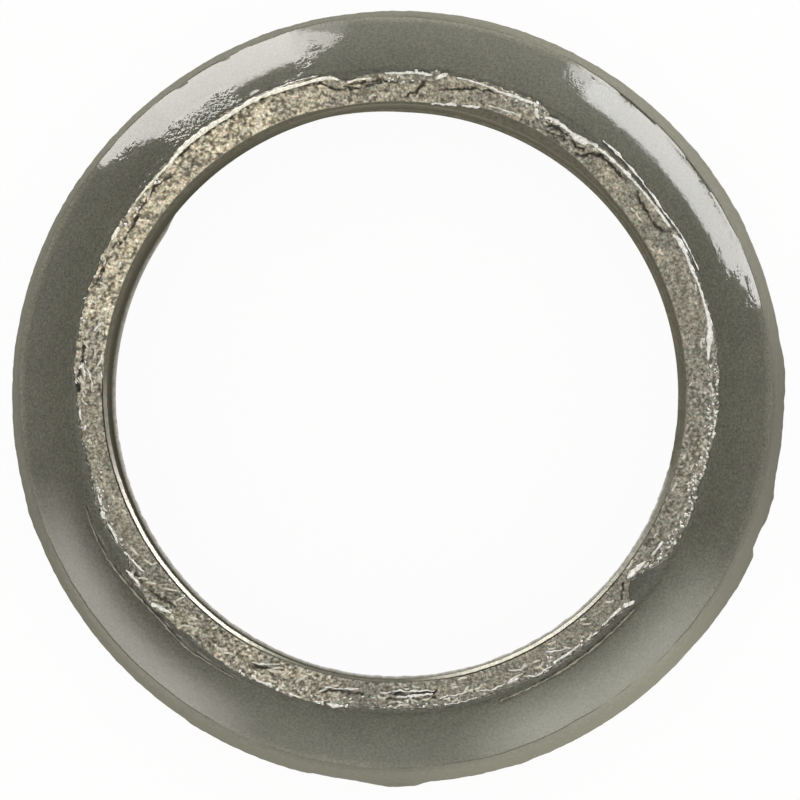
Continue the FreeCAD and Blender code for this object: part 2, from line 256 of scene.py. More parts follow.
# Folds of the skin on the seat, worn bright along their tops: azimuth, radius and width along each
FOLDS = [
    [(21.5, 29.3, 0.09), (30, 29.2, 0.12), (33.5, 28.95, 0.14), (39, 29.0, 0.18), (49, 29.2, 0.2),
     (50.5, 29.2, 0.13)],
    [(200, 29.55, 0.07), (205, 29.75, 0.09), (210, 29.8, 0.11), (213, 29.65, 0.14), (217, 29.45, 0.16),
     (224, 29.3, 0.14), (228, 29.5, 0.13), (231.5, 29.6, 0.11), (235, 29.5, 0.09), (241, 29.4, 0.07)],
    [(288.5, 29.3, 0.13), (291, 29.2, 0.16), (299, 29.15, 0.13), (304, 29.1, 0.18), (318, 29.0, 0.13)],
    [(103.5, 29.1, 0.11), (106.5, 29.15, 0.16), (111, 29.1, 0.14), (115, 29.2, 0.11)],
    [(103.5, 31.05, 0.07), (105, 30.7, 0.1), (106, 30.2, 0.1), (107, 29.85, 0.07)],
]

# Scratches along the outer part of the seat: azimuth and radius along each
STREAKS = [
    [(50, 33.3), (54, 33.15), (58, 33.2)],
    [(14, 33.35), (20, 33.15), (28, 33.2), (37, 33.3), (44, 33.15)],
]

# The rolled edge of the skin, worn bright, where it shows: azimuth, radius and width along each length
ROLLS = [
    [(5.5, 28.2, 0.25), (7.5, 28.35, 0.4), (9.5, 28.6, 0.5), (12, 28.85, 0.4), (15, 28.85, 0.3),
     (19, 28.85, 0.25), (23, 28.75, 0.3), (26, 28.85, 0.35), (28.5, 28.8, 0.35), (29.5, 28.55, 0.2)],
    [(30.5, 28.75, 0.2), (33, 28.65, 0.25), (39, 28.55, 0.3), (49, 28.45, 0.3), (50.5, 28.3, 0.25)],
    [(50, 28.6, 0.25), (51.5, 28.35, 0.55), (53.5, 28.0, 0.7), (55, 28.0, 0.55), (57, 28.15, 0.4),
     (60, 28.2, 0.35), (61.5, 27.9, 0.25)],
    [(62, 27.6, 0.25), (63, 27.95, 0.55), (63.5, 28.4, 0.35)],
    [(64, 28.6, 0.25), (67, 28.55, 0.3), (70, 28.4, 0.2), (73, 28.55, 0.18), (79, 28.65, 0.18)],
    [(80.5, 28.8, 0.35), (82, 28.45, 0.45), (82.5, 28.15, 0.25)],
    [(83, 28.5, 0.25), (86.5, 28.6, 0.35), (89.5, 28.5, 0.25), (92, 28.55, 0.18)],
    [(94, 28.1, 0.2), (96.5, 28.15, 0.25), (99, 28.0, 0.25)],
    [(100, 28.25, 0.2), (101, 28.6, 0.25), (103, 28.75, 0.3), (107.5, 28.75, 0.25), (112, 28.9, 0.35),
     (117, 29.0, 0.4), (121, 28.8, 0.45), (124, 28.9, 0.45), (131, 28.95, 0.45), (133, 28.8, 0.35),
     (135, 28.65, 0.25), (138.5, 28.7, 0.2), (144, 28.75, 0.18)],
    [(145, 28.75, 0.2), (146.5, 28.7, 0.25)],
    [(149, 28.75, 0.25), (150, 28.7, 0.4), (152, 28.75, 0.25)],
    [(163, 28.8, 0.15), (163.5, 29.15, 0.2)],
    [(183, 28.2, 0.2), (184.5, 28.3, 0.25), (185.5, 28.1, 0.2)],
    [(186, 27.85, 0.2), (187.5, 28.0, 0.2)],
    [(197.5, 27.9, 0.2), (199, 27.9, 0.25)],
    [(199, 28.1, 0.2), (201.5, 28.15, 0.2)],
    [(202, 28.25, 0.25), (203, 28.5, 0.4), (204, 28.3, 0.2)],
    [(204.5, 28.3, 0.2), (206.5, 28.2, 0.25), (209, 28.3, 0.2)],
    [(210.5, 28.15, 0.2), (212.5, 27.95, 0.2), (214.5, 27.85, 0.2), (216, 27.6, 0.15)],
    [(213.5, 28.9, 0.2), (214.5, 28.75, 0.3), (217.5, 28.65, 0.2)],
    [(221, 29.0, 0.25), (222, 28.7, 0.3), (223.5, 28.45, 0.25), (225, 28.1, 0.2)],
    [(243, 28.5, 0.2), (245, 28.65, 0.3), (247.5, 28.45, 0.2)],
    [(250.5, 28.65, 0.2), (253, 28.7, 0.2)],
    [(255, 28.65, 0.2), (257, 28.7, 0.2)],
    [(257.5, 28.55, 0.25), (259, 28.7, 0.35), (261, 28.55, 0.25)],
    [(291, 28.05, 0.25), (292.5, 27.9, 0.35), (293.5, 28.05, 0.25)],
    [(300, 28.15, 0.2), (303.5, 28.2, 0.25), (306.5, 28.05, 0.2)],
    [(308, 28.1, 0.18), (310.5, 28.25, 0.18)],
    [(311.5, 28.1, 0.2), (313.5, 28.0, 0.3), (316.5, 28.1, 0.25)],
    [(316.5, 28.1, 0.35), (317.5, 28.3, 0.5), (319, 28.55, 0.2)],
    [(321, 26.7, 0.25), (322, 26.75, 0.5), (324, 26.95, 0.55), (326, 27.15, 0.3)],
    [(328, 27.35, 0.18), (331, 27.55, 0.3)],
]

# Bare wires that stand out of the face: azimuth, radius and width, and the factor that slims them all
WIRE_SLIMNESS = 0.62
BARE_WIRES = [
    [(256.5, 27.25, 0.2), (260, 27.0, 0.3), (263.5, 26.9, 0.25)],
    [(242, 27.5, 0.18), (245, 26.95, 0.22), (247.5, 26.4, 0.18)],
    [(270, 27.4, 0.22), (273, 27.35, 0.35), (277.5, 27.3, 0.25)],
    [(269.5, 26.8, 0.22), (273, 26.9, 0.3), (278, 27.0, 0.18)],
    [(267, 26.9, 0.22), (268, 27.1, 0.25), (269.5, 26.95, 0.18)],
    [(270, 27.75, 0.25), (271.5, 27.9, 0.3)],
    [(273, 27.75, 0.25), (273.5, 28.1, 0.25)],
    [(278, 27.7, 0.16), (281.5, 27.75, 0.18), (284, 27.6, 0.13)],
    [(279, 28.35, 0.16), (282.5, 28.45, 0.18), (286, 28.35, 0.13)],
    [(285, 27.8, 0.18), (288, 28.05, 0.22), (291, 28.0, 0.18)],
    [(294, 28.0, 0.18), (296.5, 28.45, 0.27), (298, 28.4, 0.22), (300, 28.2, 0.18)],
    [(292, 27.0, 0.18), (295, 27.4, 0.22), (296, 27.1, 0.18)],
    [(300, 26.9, 0.18), (302, 27.45, 0.22), (304, 27.8, 0.18)],
    [(323.5, 27.5, 0.18), (324.5, 27.6, 0.22)],
    [(65, 27.15, 0.25), (69, 27.05, 0.25), (72, 26.85, 0.25)],
    [(73, 26.65, 0.3), (75, 26.4, 0.35), (77, 26.25, 0.3)],
    [(77.5, 26.2, 0.3), (80, 26.1, 0.35), (83, 25.95, 0.2)],
    [(174.5, 28.2, 0.22), (176, 27.95, 0.25), (177.5, 27.6, 0.22)],
    [(175.5, 27.75, 0.18), (177, 27.3, 0.25), (179, 26.95, 0.18)],
    [(172, 26.25, 0.18), (174, 26.55, 0.25), (175.5, 26.65, 0.18)],
    [(176, 26.5, 0.18), (177.5, 26.2, 0.22)],
    [(154.5, 27.25, 0.35), (156, 26.95, 0.25)],
    [(166.5, 26.7, 0.25), (167.5, 27.15, 0.3), (169, 27.45, 0.22)],
]

# How loose the skin is beside its ragged edge, by azimuth
LOOSE_SKIN = [(0, 0.1), (110, 0.1), (133, 0.25), (140, 0.6), (165, 0.7), (180, 0.4), (200, 0.1)]

# Crumpled patches of the seat: first and last azimuth, ramp beside them, radii of the rise and of the fall.
# Each of the fainter ones comes after its share. BEYOND is a fall outside the ring.
BEYOND = (40, 41)
MAIN_PATCH = (120.5, 130.5, 3, (29.2, 29.5), (31.0, 31.4))
SLANT_PATCH = (104, 106, 1.5, (29.8, 30.2), (31.0, 31.4))
END_PATCHES = [
    (0.6, (138, 141, 3.5, (31.6, 32.6), (33.5, 33.8))),
    (0.4, (98, 103, 3, (30.6, 31.4), (32.6, 33.4))),
    (0.3, (15, 22, 4, (31.0, 31.6), BEYOND)),
    (0.25, (58.5, 63, 2, (31.4, 31.8), BEYOND)),
]

# How much of the burr is left at the foot of the bore, from 0 to 1, by azimuth
BURR_SHARES = [(88, 1), (105, 0), (141, 0), (145, 1)]

# How far the wires lean across the face: the change of radius over length, by azimuth
STRAND_SLANTS = [(0, 0), (150, -0.5), (205, -0.4), (258, -0.4), (266, 0), (284, 0), (296, 0.25), (310, 0.2)]

# Scattered flakes inside the skin's edge: first and last azimuth, and how many
FLAKE_STRETCHES = [
    (340, 366, 110), (325, 340, 48), (55, 71, 30), (82, 93, 14), (138, 146, 10), (146, 182, 30),
    (183, 212, 20), (238, 264, 40), (264, 282, 20), (296, 312, 16),
]

# The azimuths between which the rolled edge is cream rather than white, and which folds are worn bright
WARM_ROLLS = (93, 162)
BRIGHT_FOLDS = (0, 3)

# How many points a ring of the mesh has
COARSE = 512
MEDIUM = 1024
FINE = 2048

rng = np.random.default_rng(SEED)


# Noise, laid out on sheets that are unrolled round the ring

SHEET_COLUMNS = 4096
SHEET_ROWS = 1024
SHEET_STEP = 2 * math.pi * MEAN_RADIUS / SHEET_COLUMNS


def random_sheet(strength):
    """Random heights, periodic round the ring, with this strength at each frequency; mean 0, deviation 1."""
    white = rng.standard_normal((SHEET_COLUMNS, SHEET_ROWS))
    along = np.fft.fftfreq(SHEET_COLUMNS, SHEET_STEP)[:, None]
    across = np.fft.fftfreq(SHEET_ROWS, SHEET_STEP)[None, :]
    sheet = np.real(np.fft.ifft2(np.fft.fft2(white) * strength(along, across)))
    return sheet / sheet.std()


def sheet_noise(length, width):
    """Lumps of these half sizes."""
    return random_sheet(lambda x, y: np.exp(-2 * math.pi**2 * ((x * length) ** 2 + (y * width) ** 2)))


def sheet_waves(wavelength, stretch, variety):
    """Winding waves of about this wavelength across the ring, stretched along it."""
    return random_sheet(lambda x, y: np.exp(-(((np.hypot(x * stretch, y) * wavelength - 1) / variety) ** 2)))


def sample(sheet, azimuth, path):
    """The sheet's value at this azimuth and this distance along the section."""
    column = np.asarray(azimuth) / 360 * SHEET_COLUMNS
    row = np.clip(np.asarray(path) / SHEET_STEP, 0, SHEET_ROWS - 2)
    column, row = np.broadcast_arrays(column, row)
    c0 = np.floor(column).astype(int)
    r0 = np.floor(row).astype(int)
    u = column - c0
    v = row - r0
    c0 = c0 % SHEET_COLUMNS
    c1 = (c0 + 1) % SHEET_COLUMNS
    low = sheet[c0, r0] * (1 - u) + sheet[c1, r0] * u
    high = sheet[c0, r0 + 1] * (1 - u) + sheet[c1, r0 + 1] * u
    return low * (1 - v) + high * v


# The sheets that every stretch of the section shares
fine_grain = sheet_noise(0.05, 0.05)
coarse_grain = sheet_noise(0.14, 0.12)
lumps = sheet_noise(0.5, 0.35)
worms = sheet_waves(0.35, 1.9, 0.42)
crumple = sheet_noise(0.28, 0.16)
grains = sheet_noise(0.1, 0.08)
swell = sheet_noise(4.0, 2.2)
ragged = sheet_noise(0.16, 0.3)

# Distances along the section at which its stretches start
PATH_WALL = 0.5
PATH_FACE = 15.0
PATH_SEAT = 18.5
PATH_FLANK = 26.0
PATH_BASE = 36.0


# Curves round the ring

def around(points, azimuth, soften=0.0):
    """The value at this azimuth of a curve through the points, closed round the ring."""
    places, values = np.array(points, float).T
    step = 0.1
    dense = np.arange(0, 360, step)
    curve = np.interp(dense, places, values, period=360)
    if soften:
        frequency = np.fft.fftfreq(len(dense), step)
        keep = np.exp(-2 * math.pi**2 * (frequency * soften) ** 2)
        curve = np.real(np.fft.ifft(np.fft.fft(curve) * keep))
    return np.interp(azimuth, dense, curve, period=360)


def band(azimuth, start, end, ramp):
    """1 between two azimuths, falling to 0 over a ramp on each side."""
    middle = (start + end) / 2
    half = (end - start) / 2
    away = np.abs((np.asarray(azimuth) - middle + 180) % 360 - 180)
    return np.clip((half + ramp - away) / ramp, 0, 1)


def smooth_step(value, low, high):
    """0 below the low value and 1 above the high one, with an eased rise between them."""
    t = np.clip((np.asarray(value) - low) / (high - low), 0, 1)
    return t * t * (3 - 2 * t)


def near_line(azimuth, radius, points, half_width):
    """1 on a line through the points, falling to 0 beside it."""
    scale = math.radians(1) * MEAN_RADIUS
    origin = points[0][0]
    across = (azimuth - origin + 180) % 360 - 180
    nearest = np.full(np.broadcast(azimuth, radius).shape, 1e6)
    for (a0, r0), (a1, r1) in zip(points, points[1:]):
        start = (a0 - origin + 180) % 360 - 180
        run = (a1 - a0) * scale
        rise = r1 - r0
        x = (across - start) * scale
        y = radius - r0
        share = np.clip((x * run + y * rise) / (run**2 + rise**2), 0, 1)
        nearest = np.minimum(nearest, (x - share * run) ** 2 + (y - share * rise) ** 2)
    return np.exp(-nearest / half_width**2)


def patch(azimuth, radius, start, end, ramp, rise, fall):
    """1 inside a patch, which fades in over the radii of its rise and out over those of its fall."""
    return band(azimuth, start, end, ramp) * smooth_step(radius, *rise) * (1 - smooth_step(radius, *fall))


# Surfaces

def skin_edge(azimuth):
    """Radius of the skin's ragged inner edge."""
    mean = SKIN_EDGE + around(SKIN_EDGE_SHIFTS, azimuth, soften=0.35)
    small = 0.05 * sample(ragged, azimuth, PATH_FACE) + 0.02 * sample(fine_grain, azimuth, PATH_FACE)
    return np.maximum(mean + small, FACE_START + 0.25)


def face_start(azimuth):
    """Radius at which the rough face starts."""
    return FACE_START + around(FACE_START_SHIFTS, azimuth, soften=1.0)


def face_path(radius):
    """Distance along the section to this radius of the rough face."""
    return PATH_FACE + radius - FACE_START


def face_height(azimuth, radius):
    """Height of the rough face over its mean level: flattened wires, broken grains and cracks."""
    path = face_path(radius)
    drifted = path + around(WIRE_DRIFT, azimuth)
    wave = sample(worms, azimuth, drifted) + 0.3 * sample(coarse_grain, azimuth, path)
    wires = smooth_step(wave, -0.7, 0.6) - 0.55
    grain = smooth_step(sample(grains, azimuth, path), -1.3, 1.1) - 0.52
    relief = WIRE_RELIEF * around(WIRE_SHARES, azimuth, soften=0.8) * wires
    relief = relief + GRAIN_RELIEF * around(GRAIN_SHARES, azimuth, soften=0.8) * grain
    relief = relief + FINE_RELIEF * sample(fine_grain, azimuth, path)
    wander = 0.07 * sample(coarse_grain, azimuth, path)
    depth = CRACK_DEPTH * np.clip(0.75 + 0.35 * sample(lumps, azimuth, path), 0.2, 1.2)
    for half_width, points in CRACKS:
        relief = relief - depth * near_line(azimuth, radius + wander, points, half_width)
    return relief


def face_paleness(azimuth, radius):
    """How much pale metal and scale shows, most of all along the bore at the upper left."""
    share = around(PALE_SHARES, azimuth, soften=0.8) * (1 + 0.35 * sample(lumps, azimuth, face_path(radius)))
    rim = np.exp(-((radius - face_start(azimuth) - 0.12) / 0.16) ** 2) * band(azimuth, 100, 172, 8)
    return np.clip(share + 0.5 * rim, 0, 1.5)


def seat_height(radius):
    """Height of the spherical seat, which rolls over into a level crest."""
    centre = HEIGHT - math.sqrt(SEAT_RADIUS**2 - CREST**2)
    sphere = centre + np.sqrt(SEAT_RADIUS**2 - radius**2)
    level = HEIGHT - 0.01
    return -CREST_ROUND * np.logaddexp(-sphere / CREST_ROUND, -level / CREST_ROUND)


def seat_relief(azimuth, radius):
    """Folds, crumples and waves of the skin, over the plain sphere."""
    path = PATH_SEAT + radius - SKIN_EDGE
    relief = SWELL_RELIEF * sample(swell, azimuth, path)
    # The sunken fold grooves also darken the skin's colour through their relief, as painted shade.
    for points in FOLDS:
        line = [(a, r - 0.12) for a, r, _ in points]
        relief = relief - FOLD_DEPTH * near_line(azimuth, radius, line, 0.09)
    near = 1 - smooth_step(radius - skin_edge(azimuth), 0.0, 0.7)
    return relief + CRUMPLE_RELIEF * near * sample(crumple, azimuth, path)


def crest_painted_shade(radius):
    """Painted shade on the level crest where the skin runs furthest in, carried as a sunken relief that
    darkens the skin's colour.
    """
    return -0.02 * (1 - smooth_step(radius, CREST - 0.7, CREST - 0.3))


def seat_wear(azimuth, radius):
    """How crumpled the skin is: in its patches, in streaks, and beside its ragged edge."""
    blotch = sample(lumps, azimuth, PATH_SEAT + radius - SKIN_EDGE)
    edge = 1 - smooth_step(radius - skin_edge(azimuth), 0.1, 0.7)
    loose = around(LOOSE_SKIN, azimuth, soften=2)
    few = smooth_step(blotch, -0.2, 1.2)
    streak = sum(near_line(azimuth, radius, points, 0.07) for points in STREAKS)
    ends = few * sum(share * patch(azimuth, radius, *place) for share, place in END_PATCHES) + 0.3 * streak
    main = (patch(azimuth, radius, *MAIN_PATCH) + edge * loose) * (1 + 0.25 * blotch)
    return np.clip(main + ends + 0.5 * patch(azimuth, radius, *SLANT_PATCH), 0, 1.3)


def seat_end_wander(azimuth):
    """How far the end of the burnished seat strays from its circle."""
    return 0.05 * sample(swell, azimuth, PATH_FLANK - 2) + 0.025 * sample(lumps, azimuth, PATH_FLANK - 2)


def off_centre(share, azimuth):
    """How far a ring that follows the flank by this share is shifted outwards at this azimuth."""
    return share * OFF_CENTRE * np.cos(np.radians(azimuth - OFF_CENTRE_AZIMUTH))


def flank_painted_light(azimuth):
    """How pale the unpolished shoulder and flank are; the change round the ring is painted light."""
    return around(FLANK_PAINTED_LIGHT, azimuth, soften=2.0)


def wall_top(azimuth):
    """Radius of the top of the bore's wall."""
    return WALL_TOP + around(WALL_SHIFTS, azimuth, soften=1.0)


def ledge(azimuth):
    """How far the burr at the foot of the bore stands inwards; it is broken off over one stretch."""
    whole = around(BURR_SHARES, azimuth, soften=0.6)
    reach = WALL_FOOT - BORE + 0.03 + 0.04 * np.cos(np.radians(2 * azimuth))
    return reach * whole * (1 + 0.07 * sample(ragged, azimuth, 2.0) * band(azimuth, 190, 350, 10))


def bevel_height(azimuth, share):
    """Height of the pressed edge, from its foot on the wall to its top at the rough face."""
    width = face_start(azimuth) - EDGE_GAP - wall_top(azimuth)
    steep = width * math.tan(math.radians(BEVEL_SLOPE))
    blunt = FACE_LEVEL - EDGE_GAP - BEVEL_FOOT
    dull = band(azimuth, *BLUNT_SIDE)
    notches = 0.02 * np.maximum(0, sample(lumps, azimuth, PATH_WALL + 2) - 0.9) * share
    return BEVEL_FOOT + share * (steep + (blunt - steep) * dull) - notches * (1 - dull)


# The rings of the mesh

def azimuths(count):
    """The azimuths of the points of a ring."""
    return np.arange(count) * 360.0 / count


def on_ring(azimuth, radius, height):
    """Points at these azimuths, radii and heights."""
    turn = np.radians(azimuth)
    return np.stack([radius * np.cos(turn), radius * np.sin(turn), height], 1)


class Skin:
    """Rings of points stitched into one closed surface. Each point stores two values for its finish: the
    relief, which also carries painted shade where it sinks and painted light at the seat's outer edge, and
    the tint, which says how worn, crumpled or pale it is; much of that paleness is painted light."""

    def __init__(self):
        self.rings = []
        self.finishes = []
        self.reliefs = []
        self.tints = []

    def add(self, azimuth, radius, height, finish, relief=0, tint=0, other=None, part=(0, 0)):
        """Adds a ring. The strip up to it gets the finish, or the other one within the part's azimuths."""
        radius, height, relief, tint, _ = np.broadcast_arrays(radius, height, relief, tint, azimuth)
        self.rings.append(on_ring(azimuth, radius, height))
        self.reliefs.append(relief)
        self.tints.append(tint)
        self.finishes.append((finish, other, part))

    def faces(self):
        """The polygons between the rings, closed from the last to the first, and the finish of each."""
        starts = np.cumsum([0] + [len(r) for r in self.rings])
        polygons = []
        finishes = []
        count = len(self.rings)
        for number in range(count):
            following = (number + 1) % count
            low = len(self.rings[number])
            high = len(self.rings[following])
            strip = stitch(starts[number], low, starts[following], high)
            polygons.extend(strip)
            finish, other, (first, last) = self.finishes[following]
            base = min(low, high)
            azimuth = np.arange(len(strip)) % base * 360.0 / base
            inside = (azimuth >= first) & (azimuth < last)
            finishes.extend([other if here else finish for here in inside])
        return polygons, finishes


def stitch(a, low, b, high):
    """The polygons between rings starting at points a and b: quads, or triangles where the count doubles."""
    if low > high:
        return [list(reversed(p)) for p in stitch(b, high, a, low)]
    here = np.arange(low)
    there = (here + 1) % low
    if low == high:
        return np.stack([a + here, b + here, b + there, a + there], 1).tolist()
    first = 2 * here
    middle = first + 1
    last = (first + 2) % high
    strips = [
        np.stack([a + here, b + first, b + middle], 1),
        np.stack([a + here, b + middle, a + there], 1),
        np.stack([a + there, b + middle, b + last], 1),
    ]
    return np.concatenate(strips).tolist()


def spaced(start, end, count):
    """count values from just after start to end."""
    return start + (end - start) * (np.arange(1, count + 1) / count)


def add_bore(skin):
    """Lead-in, burr and wall of the bore. The burr is painted near white on one side, a painted reflection,
    and dull on the other; the wall is painted paler where it lies in shade.
    """
    azimuth = azimuths(COARSE)
    reach = ledge(azimuth)
    # How much painted light the wall gets; it also keeps the burr from its painted white reflection.
    painted_light_share = around(WALL_PAINTED_LIGHT, azimuth, soften=1.5)

    def pale(foot):
        return painted_light_share * (1 + 0.9 * foot)

    for inward, height, finish, tint in (
        (0.6, LEAD_IN - 0.3, "wall", 0),
        (1, LEAD_IN - 0.06, "burr", pale(1)),
        (0.92, LEAD_IN, "burr", pale(1)),
        (0.15, LEAD_IN + 0.04, "burr", np.maximum(pale(1), 1)),
        (0, LEDGE_TOP - 0.1, "wall", pale(0.6)),
    ):
        skin.add(azimuth, WALL_FOOT - inward * reach, height, finish, tint=tint)
    for height in spaced(LEDGE_TOP, BEVEL_FOOT - 0.1, WALL_ROWS):
        rough = 0.015 * sample(coarse_grain, azimuth, PATH_WALL + height)
        share = (height - LEDGE_TOP) / (BEVEL_FOOT - LEDGE_TOP)
        radius = WALL_FOOT + (wall_top(azimuth) - WALL_FOOT) * share + rough
        skin.add(azimuth, radius, height, "wall", rough, pale(0.6 * (1 - share)))


def add_face(skin):
    """Pressed edge of the bore, crevice and rough face."""
    azimuth = azimuths(MEDIUM)
    low = wall_top(azimuth)
    start = face_start(azimuth)
    rough = 0.007 * sample(coarse_grain, azimuth, PATH_FACE - 0.5)
    # The pressed edge is worn bright, and painted brighter still on the lower side, as a painted highlight.
    wear_and_highlight = around(BEVEL_WEAR_AND_HIGHLIGHT, azimuth, soften=0.8)
    for share in BEVEL_SHARES:
        radius = low + (start - EDGE_GAP - low) * share + rough
        skin.add(azimuth, radius, bevel_height(azimuth, share), "bevel" if share else "wall", rough, wear_and_highlight)
    # The crevice's sunken relief also darkens the face's colour there, as painted shade.
    deep = CREVICE_DEPTH * around(CREVICE_SHARES, azimuth, soften=0.8)
    skin.add(azimuth, start + 0.05, FACE_LEVEL - 0.04 - deep, "face", -deep, 0, "bevel", FILLED_SIDE)
    azimuth = azimuths(FINE)
    start = face_start(azimuth) + 0.1
    for row in range(FACE_ROWS):
        share = (row + 0.3) / (FACE_ROWS - 0.4)
        radius = start + (skin_edge(azimuth) - start) * share
        relief = face_height(azimuth, radius)
        swelling = 0.02 * sample(lumps, azimuth, face_path(radius))
        height = FACE_LEVEL + relief + swelling
        skin.add(azimuth, radius, height, "face", relief, face_paleness(azimuth, radius))


def add_seat(skin):
    """The lip, the near part of the seat with its folds, and the smooth rest."""
    azimuth = azimuths(FINE)
    edge = skin_edge(azimuth)
    lip = edge + LIP_WIDTH
    lip_height = seat_height(lip) - 0.05 + 0.02 * sample(crumple, azimuth, PATH_SEAT + 0.1)
    # The lip's sunken relief darkens its colour a little, as painted shade.
    for radius, height in ((edge + 0.03, FACE_LEVEL + 0.02), (lip, lip_height)):
        skin.add(azimuth, radius, height, "skin", -0.015)
    azimuth = azimuths(MEDIUM)
    start = skin_edge(azimuth) + LIP_WIDTH
    for row in range(NEAR_ROWS):
        radius = start + (NEAR_END - start) * ((row + 1) / NEAR_ROWS) ** 1.15
        relief = seat_relief(azimuth, radius)
        # The crest's painted shade and the sunken folds go into the relief, which darkens the skin's colour
        # there.
        mark = np.minimum(relief, crest_painted_shade(radius))
        skin.add(azimuth, radius, seat_height(radius) + relief, "skin", mark, seat_wear(azimuth, radius))
    for radius in SEAT_RINGS:
        azimuth = azimuths(MEDIUM if radius < SEAT_RINGS[1] else COARSE)
        mark = relief = seat_relief(azimuth, radius)
        # The outer edge of the seat is painted lighter, as painted light for the reflection it lacks there.
        if radius > EDGE_LIGHT_INNER:
            edge_light = float(smooth_step(radius, EDGE_LIGHT_INNER, SEAT_END))
            mark = EDGE_LIGHT_START + around(SEAT_EDGE_PAINTED_LIGHT, azimuth, soften=2.0) * edge_light
        place = radius + seat_end_wander(azimuth) * (radius > SEAT_END - 0.15)
        skin.add(azimuth, place, seat_height(place) + relief, "skin", mark, seat_wear(azimuth, radius))


def add_flank(skin):
    """Shoulder, leaning flank, flash and base round."""
    azimuth = azimuths(COARSE)
    # The flank's paleness round the ring is painted light.
    pale = flank_painted_light(azimuth)
    start = math.asin(SEAT_END / SEAT_RADIUS)
    end = math.radians(SHOULDER_END)
    edge_height = float(seat_height(SEAT_END))
    # Painted light: the shoulder's first rings carry the seat's brighter and darker stretches.
    change = around(SHOULDER_PAINTED_LIGHT_STARTS, azimuth, soften=2.0) - 1
    for step in range(SHOULDER_STEPS + 1):
        share = step / SHOULDER_STEPS
        turn = start + (end - start) * max(step, 0.02) / SHOULDER_STEPS
        radius = SEAT_END + SHOULDER_ROUND * (math.sin(turn) - math.sin(start))
        height = edge_height - SHOULDER_ROUND * (math.cos(start) - math.cos(turn))
        wander = seat_end_wander(azimuth) * max(0, 1 - 2 * share)
        place = radius + off_centre(SHOULDER_OFF_CENTRE * share, azimuth) + wander
        tint = pale * (1 + change * (1 - smooth_step(share, 0.0, 0.9)))
        skin.add(azimuth, place, height - 0.9 * wander, "flank", tint=tint)
    for share in FLANK_SHARES:
        bulge = math.sin(math.pi * share / 2)
        wide = radius + (FLANK_FOOT - radius) * bulge
        rough = 0.02 * sample(coarse_grain, azimuth, PATH_FLANK + 8 * share) * min(1, 3 * share)
        follows = SHOULDER_OFF_CENTRE + (1 - SHOULDER_OFF_CENTRE) * bulge
        place = wide + off_centre(follows, azimuth) + rough
        skin.add(azimuth, place, height + (FLANK_END - height) * share, "flank", rough, pale)
    close = azimuths(MEDIUM)
    reach = around(FLANK_SHIFTS, close, soften=0.25) + 0.02 * sample(ragged, close, PATH_FLANK)
    for height, share in FLASH_RINGS:
        place = FLANK_FOOT + off_centre(1, close) + share * reach
        skin.add(close, place, height, "flank", tint=flank_painted_light(close))
    for turn in np.radians((30, 60, 90)):
        place = FLANK_FOOT - BASE_ROUND * (1 - math.cos(turn)) + off_centre(1, azimuth)
        skin.add(azimuth, place, BASE_ROUND * (1 - math.sin(turn)), "flank", tint=pale)


def add_base(skin):
    """The flat base and the lead-in of the bore."""
    azimuth = azimuths(COARSE)
    outer = FLANK_FOOT - BASE_ROUND
    inner = WALL_FOOT + LEAD_IN
    for radius in spaced(outer, inner, BASE_ROWS):
        share = (radius - inner) / (outer - inner)
        rough = 0.02 * (1 + np.tanh(sample(coarse_grain, azimuth, PATH_BASE + share * 3))) * (share < 0.95)
        skin.add(azimuth, radius + off_centre(share, azimuth), rough * (share > 0.02), "base", rough)


# Materials

